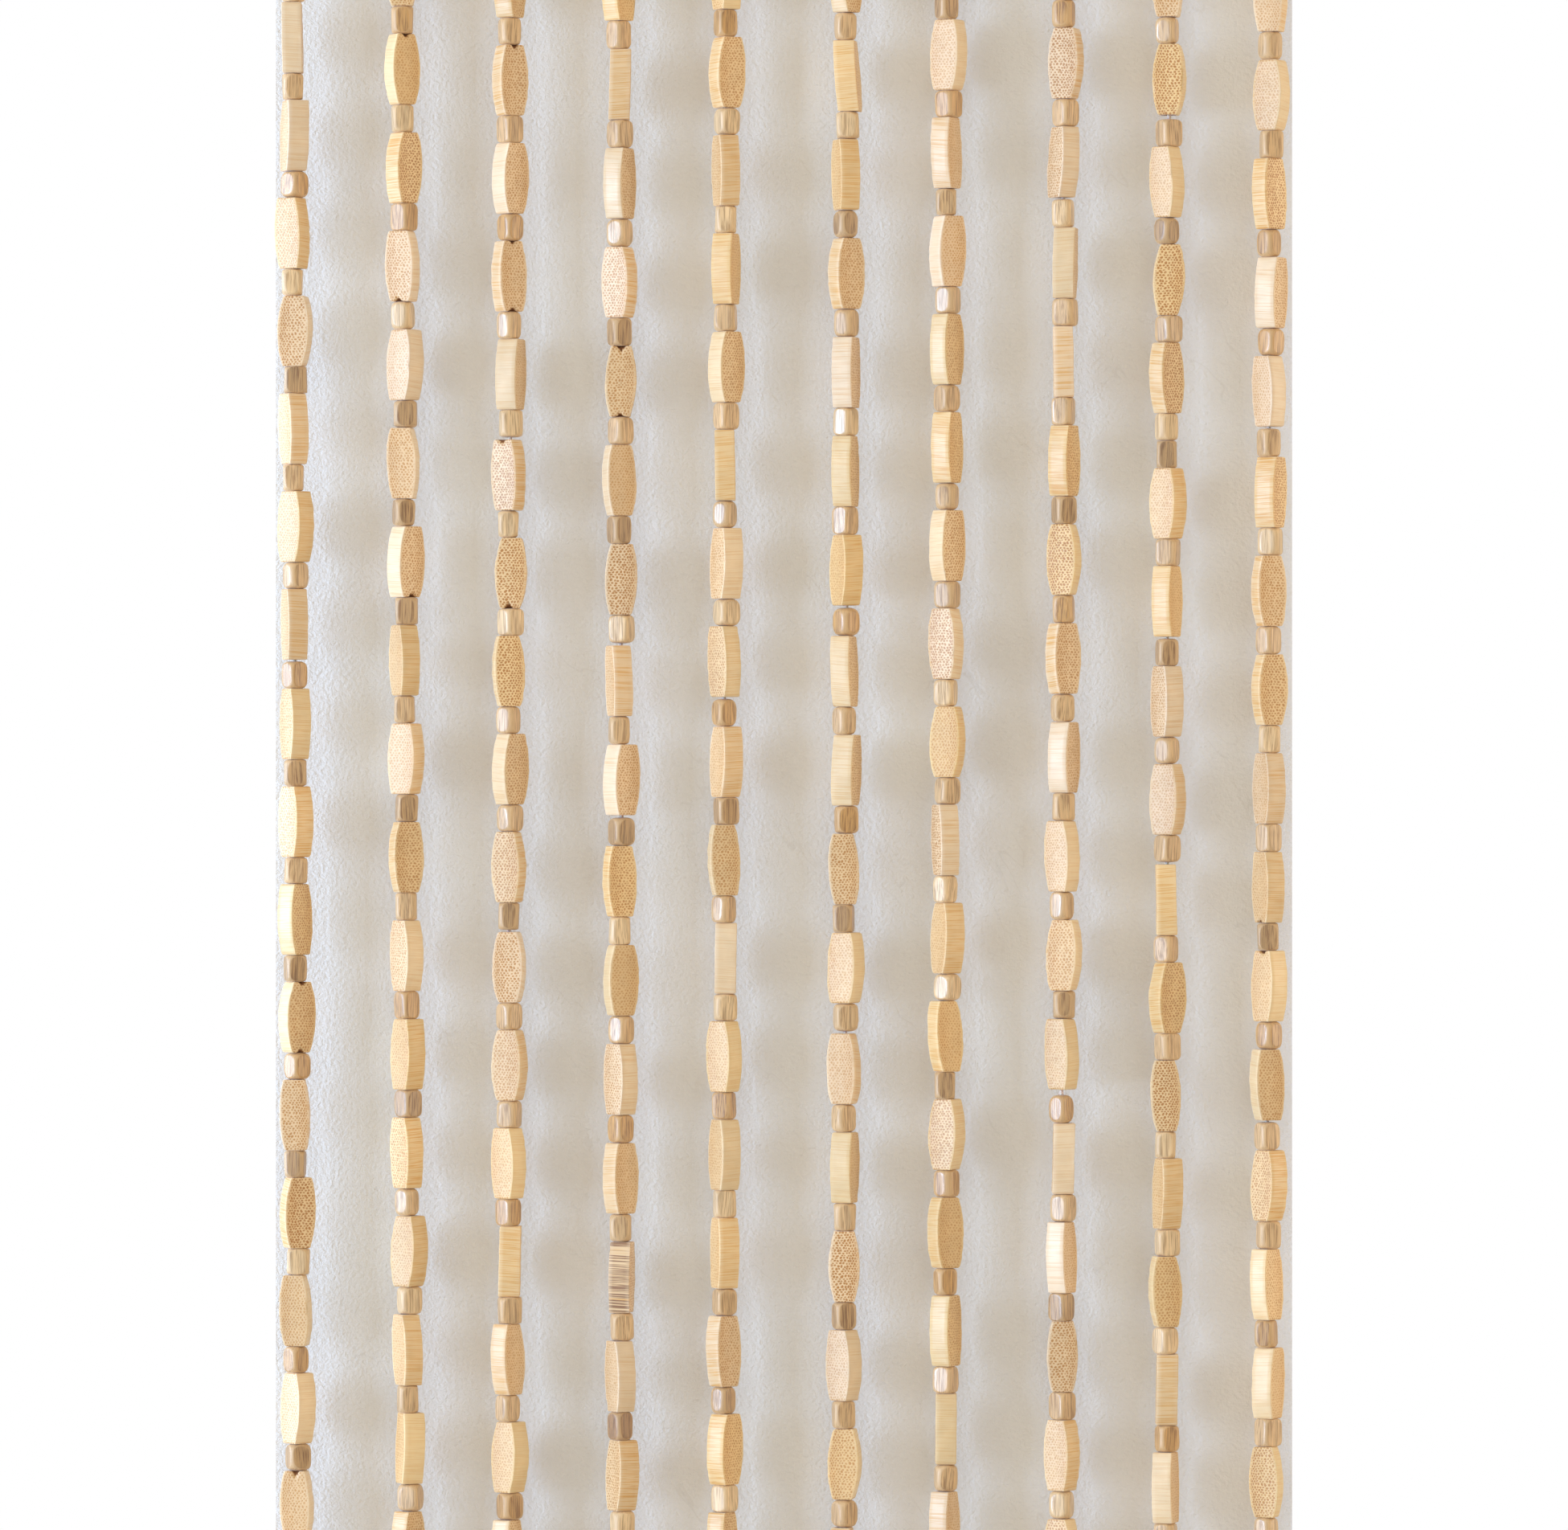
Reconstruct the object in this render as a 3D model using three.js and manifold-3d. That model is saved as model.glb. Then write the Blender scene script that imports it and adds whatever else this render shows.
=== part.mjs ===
// A panel of a bamboo bead curtain: ten strings of beads that hang side by side from a slim bamboo heading.
// Each string carries long flat barrel beads and short square ones by turns. A strip runs in a slot under the
// heading, and the ten strings grow out of it. The origin is the middle of the heading's top face. The strings
// hang down along -Z, side by side along X, and the curtain's front looks along -Y.
import * as THREE from "three";
import { mergeVertices } from "three/addons/utils/BufferGeometryUtils.js";
import Module from "manifold-3d";

const wasm = await Module();
wasm.setup();

// Driving dimensions, in millimetres and degrees.
const HEADING_LENGTH = 300;
const HEADING_DEPTH = 10;
const HEADING_HEIGHT = 18;
const HEADING_CHAMFER = 1.2;
const SLOT_WIDTH = 4;
const SLOT_HEIGHT = 3.6;
const CLEARANCE = 0.3;

const PAIRS = 20;
const THREAD = 1.4;
const LONG_LENGTH = 20.2;
const LONG_WIDTH = 8.9;
const LONG_END_WIDTH = 5.9;
const LONG_THICKNESS = 5.9;
const LONG_EDGE = 0.5;
const SMALL_SIDE = 6.1;
const SMALL_CORNER = 1;
const SEAM = 0.2;
const KNOT_WIDTH = 2.8;
const KNOT_LENGTH = 3;

const WIDTH_SPREAD = 0.25;
const SIDE_SPREAD = 0.3;
const SWAY = 0.35;
const TILT = 1.6;
const TURN_STEP = 10;
const QUARTER_TURN = 90;

// One row for each string: x is its place along the heading, drop the bare thread above its first bead, first
// the kind of that bead, pitch the length of a long and a short bead together, and lean how far it drifts along
// X in a metre. Each letter of turns is one long bead, from the top: a has its broad face to the front, and each
// further letter is turned TURN_STEP more about the thread.
const STRANDS = [
  { x: -142.3, drop: 5.4, first: "long", pitch: 28.29, lean: 3, turns: "enjlprmolmnfdacrnrgb" },
  { x: -110.8, drop: 6.0, first: "small", pitch: 28.5, lean: 4.7, turns: "ladeqorempcnnnomlfbn" },
  { x: -79.2, drop: 9.6, first: "small", pitch: 28.36, lean: -0.9, turns: "cgdedhpabeqrqojfogmr" },
  { x: -47.7, drop: 9.9, first: "small", pitch: 28.65, lean: 1.2, turns: "ofjgpacaleccneimmdbl" },
  { x: -16.5, drop: 7.1, first: "small", pitch: 28.42, lean: -1.8, turns: "bmdlhejmnmbjomlefgpc" },
  { x: 18.3, drop: 7.6, first: "small", pitch: 28.6, lean: -2, turns: "qfildhhmhhapqhaoridk" },
  { x: 47.5, drop: 10.1, first: "long", pitch: 28.4, lean: -1.5, turns: "hcpgdfgepqlmdpdgjgqe" },
  { x: 81.4, drop: 3.9, first: "small", pitch: 28.62, lean: -2, turns: "doqmijgqdgoqojgaopfm" },
  { x: 111.3, drop: 9.4, first: "small", pitch: 28.35, lean: -1.5, turns: "krroaeogmpjdalbjhcni" },
  { x: 141.1, drop: 13.2, first: "small", pitch: 28.58, lean: -2.6, turns: "fqpegngccmmncnfgqdlg" },
];

// One word for each string, and one letter for each short bead of it from the top down: a has a side to the
// front, and each further letter is turned TURN_STEP more.
const SMALL_TURNS = [
  "cgbfaaadeabceiaecgbf",
  "dgabfhacaabaeefcbhbeh",
  "gbceefbaegfaehfbedhcf",
  "chfegdedhbdbfeabecgad",
  "agcdaidgddcfbhbcffbhe",
  "igbadgffeebibdacbefch",
  "ddfagehghdffafcgbeag",
  "fbhehhhcibafafgfehcea",
  "cghdeecahbgdgdabechfdb",
  "bhdbeedheaeaedbhdfagc",
];

// Where the thread shows more than at the other seams: under which bead of which string, counted from 0.
const BARE_THREAD = [
  { strand: 0, pair: 8, under: "long", length: 0.5 },
  { strand: 2, pair: 5, under: "small", length: 0.8 },
  { strand: 2, pair: 10, under: "small", length: 0.6 },
  { strand: 3, pair: 7, under: "small", length: 0.7 },
  { strand: 3, pair: 9, under: "long", length: 0.7 },
  { strand: 4, pair: 8, under: "long", length: 0.6 },
  { strand: 5, pair: 7, under: "long", length: 0.7 },
  { strand: 5, pair: 11, under: "small", length: 0.6 },
  { strand: 7, pair: 3, under: "long", length: 0.5 },
  { strand: 7, pair: 12, under: "long", length: 1.6 },
  { strand: 8, pair: 2, under: "long", length: 1.3 },
  { strand: 8, pair: 7, under: "long", length: 0.6 },
  { strand: 8, pair: 9, under: "small", length: 0.7 },
  { strand: 9, pair: 5, under: "long", length: 0.6 },
  { strand: 9, pair: 12, under: "long", length: 0.6 },
];

// The one place where two short beads follow each other.
const DOUBLED_SMALL = { strand: 8, pair: 5 };

// Long beads that sit askew on their thread, with their tops to +X.
const ASKEW = [
  { strand: 3, pair: 2, tilt: 1.5 },
  { strand: 5, pair: 2, tilt: -4 },
  { strand: 7, pair: 3, tilt: 3 },
  { strand: 6, pair: 12, tilt: -3 },
];

const radians = (degrees) => THREE.MathUtils.degToRad(degrees);

// A repeatable number from -1 to 1 for one bead, another one for each kind.
const wobble = (strand, pair, kind) => Math.sin(strand * 12.9 + pair * 78.2 + kind * 37.7);

function bareThread(strand, pair, under) {
  const row = BARE_THREAD.find((gap) => gap.strand === strand && gap.pair === pair && gap.under === under);
  return row ? row.length : 0;
}

function tiltOf(strand, pair) {
  const row = ASKEW.find((bead) => bead.strand === strand && bead.pair === pair);
  return row ? row.tilt : TILT * wobble(strand, pair, 1);
}

// Where a string hangs at a height: its place along the heading, and its lean from there down.
const stringX = (strand, z) => STRANDS[strand].x - (STRANDS[strand].lean * z) / 1000;

const turnOf = (letters, place) => (letters.charCodeAt(place) - "a".charCodeAt(0)) * TURN_STEP;

function longBead(strand, pair, top) {
  return {
    kind: "long",
    top,
    length: LONG_LENGTH,
    x: stringX(strand, top) + SWAY * wobble(strand, pair, 2),
    y: SWAY * wobble(strand, pair, 3),
    width: LONG_WIDTH + WIDTH_SPREAD * wobble(strand, pair, 4),
    depth: LONG_THICKNESS + SIDE_SPREAD * wobble(strand, pair, 5),
    turn: turnOf(STRANDS[strand].turns, pair),
    tilt: tiltOf(strand, pair),
  };
}

// place is the bead's count among the short beads of its string, from 0 at the top.
function smallBead(strand, pair, copy, top, place) {
  const side = SMALL_SIDE + SIDE_SPREAD * wobble(strand, pair, 6 + copy);
  return {
    kind: "small",
    top,
    length: STRANDS[strand].pitch - LONG_LENGTH - 2 * SEAM,
    x: stringX(strand, top) + SWAY * wobble(strand, pair, 8 + copy),
    y: SWAY * wobble(strand, pair, 10 + copy),
    width: side,
    depth: side,
    turn: turnOf(SMALL_TURNS[strand], place),
    tilt: 0,
  };
}

// The beads of one string from the top down, each with its kind, its top, length, section, turn and tilt.
function beadsOf(strand) {
  const beads = [];
  let top = -HEADING_HEIGHT - STRANDS[strand].drop;
  let smallPlace = 0;
  const hang = (bead, bare) => {
    beads.push(bead);
    top -= bead.length + SEAM + bare;
  };
  const hangSmall = (pair, copy, bare) => {
    hang(smallBead(strand, pair, copy, top, smallPlace), bare);
    smallPlace += 1;
  };
  if (STRANDS[strand].first === "small") hangSmall(-1, 0, 0);
  for (let pair = 0; pair < PAIRS; pair++) {
    const doubled = strand === DOUBLED_SMALL.strand && pair === DOUBLED_SMALL.pair;
    hang(longBead(strand, pair, top), bareThread(strand, pair, "long"));
    if (doubled) hangSmall(pair, 1, 0);
    hangSmall(pair, 0, bareThread(strand, pair, "small"));
  }
  return beads;
}

// A four-sided ring of a string, at a height below a bead's top.
function ringOf(bead, below, width) {
  const fromMiddle = bead.length / 2 - below;
  return {
    x: bead.x + fromMiddle * Math.tan(radians(bead.tilt)),
    y: bead.y,
    z: bead.top - below,
    width,
    depth: bead.depth,
    turn: bead.turn,
  };
}

function beadRings(bead) {
  if (bead.kind === "small") {
    return [
      ringOf(bead, SMALL_CORNER, bead.width),
      ringOf(bead, bead.length - SMALL_CORNER, bead.width),
    ];
  }
  return [
    ringOf(bead, LONG_EDGE, LONG_END_WIDTH),
    ringOf(bead, bead.length / 2, bead.width),
    ringOf(bead, bead.length - LONG_EDGE, LONG_END_WIDTH),
  ];
}

// The thread between two beads, turned halfway from the section above it to the one below.
function seamRing(above, below) {
  const bottom = above.top - above.length;
  const twist = below.turn - above.turn;
  const nearest = twist - QUARTER_TURN * Math.round(twist / QUARTER_TURN);
  return {
    x: (above.x + below.x) / 2,
    y: (above.y + below.y) / 2,
    z: (bottom + below.top) / 2,
    width: THREAD,
    depth: THREAD,
    turn: above.turn + nearest / 2,
  };
}

function threadRing(bead, z, width) {
  return { x: bead.x, y: bead.y, z, width, depth: width, turn: bead.turn };
}

// All rings of one string: its root inside the strip, the beads with their seams, and the knot under the last.
function strandRings(strand) {
  const beads = beadsOf(strand);
  const first = beads[0];
  const last = beads[beads.length - 1];
  const root = -HEADING_HEIGHT + SLOT_HEIGHT / 2;
  const end = last.top - last.length - SEAM / 2;
  const rings = [
    { ...threadRing(first, root, THREAD), y: 0 },
    threadRing(first, first.top, THREAD),
  ];
  beads.forEach((bead, i) => {
    rings.push(...beadRings(bead));
    if (i + 1 < beads.length) rings.push(seamRing(bead, beads[i + 1]));
  });
  rings.push(threadRing(last, end, THREAD));
  rings.push(threadRing(last, end - KNOT_LENGTH / 3, KNOT_WIDTH));
  rings.push(threadRing(last, end - KNOT_LENGTH, KNOT_WIDTH));
  return rings;
}

const CORNERS = [
  { x: -0.5, y: -0.5 },
  { x: 0.5, y: -0.5 },
  { x: 0.5, y: 0.5 },
  { x: -0.5, y: 0.5 },
];

// The ring's corners, counted from the one nearest to the first corner of the ring above it.
function ringCorners(ring, above) {
  const axis = new THREE.Vector3(0, 0, 1);
  const middle = new THREE.Vector3(ring.x, ring.y, ring.z);
  const spokes = CORNERS.map(({ x, y }) =>
    new THREE.Vector3(x * ring.width, y * ring.depth, 0).applyAxisAngle(axis, radians(ring.turn)),
  );
  let start = 0;
  if (above) {
    const angles = spokes.map((spoke) => spoke.angleTo(above[0]));
    start = angles.indexOf(Math.min(...angles));
  }
  const turned = spokes.map((_, i) => spokes[(start + i) % CORNERS.length]);
  return { spokes: turned, points: turned.map((spoke) => spoke.clone().add(middle)) };
}

// A closed skin over rings that run downwards.
function loft(rings) {
  const sides = CORNERS.length;
  const positions = [];
  const index = [];
  let above = null;
  for (const ring of rings) {
    const { spokes, points } = ringCorners(ring, above);
    points.forEach((point) => positions.push(point.x, point.y, point.z));
    above = spokes;
  }
  for (let r = 0; r + 1 < rings.length; r++) {
    for (let i = 0; i < sides; i++) {
      const a = r * sides + i;
      const b = r * sides + ((i + 1) % sides);
      index.push(a, a + sides, b);
      index.push(b, a + sides, b + sides);
    }
  }
  const foot = (rings.length - 1) * sides;
  for (let i = 1; i + 1 < sides; i++) {
    index.push(0, i, i + 1);
    index.push(foot, foot + i + 1, foot + i);
  }
  const geometry = new THREE.BufferGeometry();
  geometry.setAttribute("position", new THREE.Float32BufferAttribute(positions, 3));
  geometry.setIndex(index);
  return geometry;
}

function solidOf(geometry) {
  const bare = geometry.clone();
  bare.deleteAttribute("normal");
  bare.deleteAttribute("uv");
  const merged = mergeVertices(bare, 1e-4);
  return new wasm.Manifold(
    new wasm.Mesh({
      numProp: 3,
      vertProperties: new Float32Array(merged.attributes.position.array),
      triVerts: new Uint32Array(merged.index.array),
    }),
  );
}

function geometryOf(solid) {
  const mesh = solid.getMesh();
  const geometry = new THREE.BufferGeometry();
  geometry.setAttribute("position", new THREE.Float32BufferAttribute(mesh.vertProperties, 3));
  geometry.setIndex(new THREE.BufferAttribute(mesh.triVerts, 1));
  geometry.computeVertexNormals();
  return geometry;
}

// The heading: a slat with eased long edges and a slot along its underside, drawn in section and run along X.
function headingGeometry() {
  const half = HEADING_DEPTH / 2;
  const ease = HEADING_CHAMFER;
  const slot = SLOT_WIDTH / 2;
  const section = new THREE.Shape();
  section.moveTo(-slot, -HEADING_HEIGHT);
  section.lineTo(-slot, -HEADING_HEIGHT + SLOT_HEIGHT);
  section.lineTo(slot, -HEADING_HEIGHT + SLOT_HEIGHT);
  section.lineTo(slot, -HEADING_HEIGHT);
  section.lineTo(half - ease, -HEADING_HEIGHT);
  section.lineTo(half, -HEADING_HEIGHT + ease);
  section.lineTo(half, -ease);
  section.lineTo(half - ease, 0);
  section.lineTo(-half + ease, 0);
  section.lineTo(-half, -ease);
  section.lineTo(-half, -HEADING_HEIGHT + ease);
  section.lineTo(-half + ease, -HEADING_HEIGHT);
  section.closePath();
  const geometry = new THREE.ExtrudeGeometry(section, { depth: HEADING_LENGTH, bevelEnabled: false });
  geometry.translate(0, 0, -HEADING_LENGTH / 2);
  const sectionToRow = new THREE.Matrix4().makeBasis(
    new THREE.Vector3(0, 1, 0),
    new THREE.Vector3(0, 0, 1),
    new THREE.Vector3(1, 0, 0),
  );
  return geometry.applyMatrix4(sectionToRow);
}

// The strip in the slot, flush with the heading's underside, with every string joined to it.
function strandsGeometry() {
  const length = HEADING_LENGTH - 2;
  const depth = SLOT_WIDTH - 2 * CLEARANCE;
  const height = SLOT_HEIGHT - CLEARANCE;
  const strip = new THREE.BoxGeometry(length, depth, height);
  strip.translate(0, 0, -HEADING_HEIGHT + height / 2);
  const joined = STRANDS.reduce(
    (solid, _, strand) => solid.add(solidOf(loft(strandRings(strand)))),
    solidOf(strip),
  );
  return geometryOf(joined);
}

function piece(name, geometry, material) {
  const mesh = new THREE.Mesh(geometry, material);
  mesh.name = name;
  return mesh;
}

const slatMaterial = new THREE.MeshStandardMaterial({ color: 0xd8bd88, roughness: 0.55, metalness: 0 });
const beadMaterial = new THREE.MeshStandardMaterial({ color: 0xe8d3a6, roughness: 0.6, metalness: 0 });

const curtain = new THREE.Group();
curtain.add(piece("heading_slat", headingGeometry(), slatMaterial));
curtain.add(piece("bead_strands", strandsGeometry(), beadMaterial));

export default curtain;
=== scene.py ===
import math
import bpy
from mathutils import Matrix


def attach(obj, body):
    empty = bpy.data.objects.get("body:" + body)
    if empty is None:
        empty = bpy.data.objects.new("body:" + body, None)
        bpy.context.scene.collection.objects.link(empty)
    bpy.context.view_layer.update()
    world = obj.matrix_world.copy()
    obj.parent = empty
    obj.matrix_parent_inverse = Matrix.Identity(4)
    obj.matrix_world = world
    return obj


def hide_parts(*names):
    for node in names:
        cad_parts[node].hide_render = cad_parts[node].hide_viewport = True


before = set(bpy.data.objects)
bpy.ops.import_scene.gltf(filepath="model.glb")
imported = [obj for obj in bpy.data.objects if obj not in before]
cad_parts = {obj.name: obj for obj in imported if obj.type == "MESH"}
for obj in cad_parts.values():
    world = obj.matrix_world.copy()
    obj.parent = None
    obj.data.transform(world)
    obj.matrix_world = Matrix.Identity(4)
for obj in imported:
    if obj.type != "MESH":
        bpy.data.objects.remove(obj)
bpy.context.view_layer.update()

# A panel of a bamboo bead curtain: ten strings of long flat beads and short square ones under a slim heading.
# Lengths are in millimetres and turned into metres where a mesh is made. The front looks along -Y.

from types import SimpleNamespace

import bpy
import numpy as np
from mathutils import Vector

MM = 0.001


# ---------------------------------------------------------------------------
# Camera
# ---------------------------------------------------------------------------

PICTURE_WIDTH = 453.8
PICTURE_MIDDLE_Z = -300.5
CAMERA_DISTANCE = 2500.0
SENSOR_WIDTH = 36.0


def make_camera():
    data = bpy.data.cameras.new("camera")
    data.sensor_width = SENSOR_WIDTH
    data.lens = SENSOR_WIDTH * CAMERA_DISTANCE / PICTURE_WIDTH
    camera = bpy.data.objects.new("camera", data)
    camera.location = (0, -CAMERA_DISTANCE * MM, PICTURE_MIDDLE_Z * MM)
    camera.rotation_euler = (math.radians(90), 0, 0)
    bpy.context.scene.collection.objects.link(camera)
    bpy.context.scene.camera = camera


# ---------------------------------------------------------------------------
# The strings and their beads, laid out as in the part's source
# ---------------------------------------------------------------------------

HEADING_LENGTH = 300
HEADING_DEPTH = 10
HEADING_HEIGHT = 18
HEADING_CHAMFER = 1.2
SLOT_WIDTH = 4
SLOT_HEIGHT = 3.6
CLEARANCE = 0.3

PAIRS = 20
LONG_LENGTH = 20.2
LONG_WIDTH = 8.9
LONG_END_WIDTH = 5.9
LONG_THICKNESS = 5.9
SMALL_SIDE = 6.1
SEAM = 0.2
KNOT_WIDTH = 2.8
KNOT_LENGTH = 3.0

# How far each bead reaches past the source's plain solid at an end, so that two beads all but touch.
JOINT_SQUEEZE = 0.14

WIDTH_SPREAD = 0.25
SIDE_SPREAD = 0.3
SWAY = 0.35
TILT = 1.6
TURN_STEP = 10
QUARTER_TURN = 90


def string(x, drop, first, pitch, lean, turns, grain):
    return SimpleNamespace(x=x, drop=drop, first=first, pitch=pitch, lean=lean, turns=turns, grain=grain)


# x is a string's place along the heading, drop the bare thread above its first bead, first the kind of that
# bead, pitch the length of a long and a short bead together, and lean how far it drifts along X in a metre.
# Each letter of turns is one long bead: a has its broad face to the front, and each further letter is turned
# TURN_STEP more. Each letter of grain is the same bead's cut: f, m and b are fine, medium and bold dots. A
# capital has the culm's striped outer side on the bead's -X side, and a small letter on its +X side.
STRINGS = [
    string(-142.3, 5.4, "long", 28.29, 3.0, "enjlprmolmnfdacrnrgb", "mFffFmFFFmMmmmBfffMf"),
    string(-110.8, 6.0, "small", 28.5, 4.7, "ladeqorempcnnnomlfbn", "FmfBmfmmFFMmFMFFfMmF"),
    string(-79.2, 9.6, "small", 28.36, -0.9, "cgdedhpabeqrqojfogmr", "fMMmMfBbbmMmMfFFfmFm"),
    string(-47.7, 9.9, "small", 28.65, 1.2, "ofjgpacaleccneimmdbl", "mFFmMmfbFmMfmFMfMFfM"),
    string(-16.5, 7.1, "small", 28.42, -1.8, "bmdlhejmnmbjomlefgpc", "FfMFFmFmmFmfffFMMMfm"),
    string(18.3, 7.6, "small", 28.6, -2.0, "qfildhhmhhapqhaoridk", "fmFFMmmFmmmfFfbfmFmF"),
    string(47.5, 10.1, "long", 28.4, -1.5, "hcpgdfgepqlmdpdgjgqe", "MffFfmMmbFbFFmFmfFfM"),
    string(81.4, 3.9, "small", 28.62, -2.0, "doqmijgqdgoqojgaopfm", "mfBmfFMbMmfmfffmFmFf"),
    string(111.3, 9.4, "small", 28.35, -1.5, "krroaeogmpjdalbjhcni", "FmbfbBFFmFFMbFmFfMmf"),
    string(141.1, 13.2, "small", 28.58, -2.6, "fqpegngccmmncnfgqdlg", "mFfBmfBMMFFfmMmfmMFf"),
]

# One word for each string, and one letter for each short bead of it from the top down: a has a side to the
# front, and each further letter is turned TURN_STEP more.
SMALL_TURNS = [
    "cgbfaaadeabceiaecgbf",
    "dgabfhacaabaeefcbhbeh",
    "gbceefbaegfaehfbedhcf",
    "chfegdedhbdbfeabecgad",
    "agcdaidgddcfbhbcffbhe",
    "igbadgffeebibdacbefch",
    "ddfagehghdffafcgbeag",
    "fbhehhhcibafafgfehcea",
    "cghdeecahbgdgdabechfdb",
    "bhdbeedheaeaedbhdfagc",
]

# The wood of the same short beads: c cream, t tan, b brown, g grey-brown, r red-brown. A capital is a
# polished bead.
SMALL_WOODS = [
    "tctBcgtTBgtgBgcbgtct",
    "ctbcbcgggtgtBGTctttgc",
    "tcttBTccctTgTtBttbctg",
    "ctttTgtgctgcTbttrctcg",
    "tgbccttTcbgTcbctGctbc",
    "cttcgtCTBtbgtttgttcgt",
    "tgbtTtttctcCgBbTtctb",
    "tcbtctTgbttTgBTGtCtcb",
    "ctTtgTcgtgttttcccbtcgt",
    "tcttbBtctctgBttbtTctg",
]

# The long beads, by string and place, whose sides are streaked dark.
STREAKED = [(3, 14)]

# Where the thread shows more than at the other seams, and how much: the string and pair, counted from 0, and
# the kind of the bead above.
BARE_THREAD = {
    (0, 8, "long"): 0.5,
    (2, 5, "small"): 0.8,
    (2, 10, "small"): 0.6,
    (3, 7, "small"): 0.7,
    (3, 9, "long"): 0.7,
    (4, 8, "long"): 0.6,
    (5, 7, "long"): 0.7,
    (5, 11, "small"): 0.6,
    (7, 3, "long"): 0.5,
    (7, 12, "long"): 1.6,
    (8, 2, "long"): 1.3,
    (8, 7, "long"): 0.6,
    (8, 9, "small"): 0.7,
    (9, 5, "long"): 0.6,
    (9, 12, "long"): 0.6,
}

# The string and pair of the one place where two short beads follow each other.
DOUBLED_SMALL = (8, 5)

# Long beads that sit askew on their thread, with their tops to +X.
ASKEW = {(3, 2): 1.5, (5, 2): -4, (7, 3): 3, (6, 12): -3}

# The steps of wobble's sine by string, pair and kind, far from any simple share of a full turn.
WOBBLE_STEPS = (12.9, 78.2, 37.7)


def wobble(strand, pair, kind):
    """A repeatable number from -1 to 1 for one bead, another one for each kind."""
    by_strand, by_pair, by_kind = WOBBLE_STEPS
    return math.sin(strand * by_strand + pair * by_pair + kind * by_kind)


def string_x(strand, z):
    return STRINGS[strand].x - STRINGS[strand].lean * z / 1000


def turn_of(letters, place):
    return (ord(letters[place]) - ord("a")) * TURN_STEP


def long_bead(strand, pair, top):
    return SimpleNamespace(
        kind="long",
        strand=strand,
        pair=pair,
        copy=0,
        top=top,
        length=LONG_LENGTH,
        x=string_x(strand, top) + SWAY * wobble(strand, pair, 2),
        y=SWAY * wobble(strand, pair, 3),
        width=LONG_WIDTH + WIDTH_SPREAD * wobble(strand, pair, 4),
        depth=LONG_THICKNESS + SIDE_SPREAD * wobble(strand, pair, 5),
        turn=turn_of(STRINGS[strand].turns, pair),
        tilt=ASKEW.get((strand, pair), TILT * wobble(strand, pair, 1)),
    )


def small_bead(strand, pair, copy, top, place):
    """place is the bead's count among the short beads of its string, from 0 at the top."""
    side = SMALL_SIDE + SIDE_SPREAD * wobble(strand, pair, 6 + copy)
    return SimpleNamespace(
        kind="small",
        strand=strand,
        pair=pair,
        copy=copy,
        top=top,
        length=STRINGS[strand].pitch - LONG_LENGTH - 2 * SEAM,
        x=string_x(strand, top) + SWAY * wobble(strand, pair, 8 + copy),
        y=SWAY * wobble(strand, pair, 10 + copy),
        width=side,
        depth=side,
        place=place,
        turn=turn_of(SMALL_TURNS[strand], place),
        tilt=0,
    )


def beads_of(strand):
    """The beads of one string from the top down."""
    beads = []
    small_place = 0
    top = -HEADING_HEIGHT - STRINGS[strand].drop
    if STRINGS[strand].first == "small":
        beads.append(small_bead(strand, -1, 0, top, small_place))
        top -= beads[-1].length + SEAM
        small_place += 1
    for pair in range(PAIRS):
        beads.append(long_bead(strand, pair, top))
        top -= beads[-1].length + SEAM + BARE_THREAD.get((strand, pair, "long"), 0)
        if (strand, pair) == DOUBLED_SMALL:
            beads.append(small_bead(strand, pair, 1, top, small_place))
            top -= beads[-1].length + SEAM
            small_place += 1
        beads.append(small_bead(strand, pair, 0, top, small_place))
        small_place += 1
        top -= beads[-1].length + SEAM + BARE_THREAD.get((strand, pair, "small"), 0)
    return beads


# ---------------------------------------------------------------------------
# Meshes from arrays
# ---------------------------------------------------------------------------

BAKE_MAP = "OFBake"
BAKE_MARGIN = 0.06


def closed_grid(rings, sides, outward):
    """Quads over rings of points that are closed round each ring, and from the last ring to the first."""
    ring, side = np.meshgrid(np.arange(rings), np.arange(sides), indexing="ij")
    below = (ring + 1) % rings
    beside = (side + 1) % sides
    corners = [ring * sides + side, below * sides + side, below * sides + beside, ring * sides + beside]
    if not outward:
        corners.reverse()
    return np.stack(corners, axis=-1).reshape(-1, 4)


def grid_map(ring_lengths, side_lengths, outward):
    """For each corner of closed_grid's quads, its place on a flat sheet from (0, 0) to (1, 1)."""
    down = np.concatenate([[0], np.cumsum(ring_lengths)]) / np.sum(ring_lengths)
    across = np.concatenate([[0], np.cumsum(side_lengths)]) / np.sum(side_lengths)
    ring, side = np.meshgrid(np.arange(len(ring_lengths)), np.arange(len(side_lengths)), indexing="ij")
    corners = [(ring, side), (ring + 1, side), (ring + 1, side + 1), (ring, side + 1)]
    if not outward:
        corners.reverse()
    places = [np.stack([across[s], down[r]], axis=-1) for r, s in corners]
    return np.stack(places, axis=-2).reshape(-1, 2)


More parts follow.
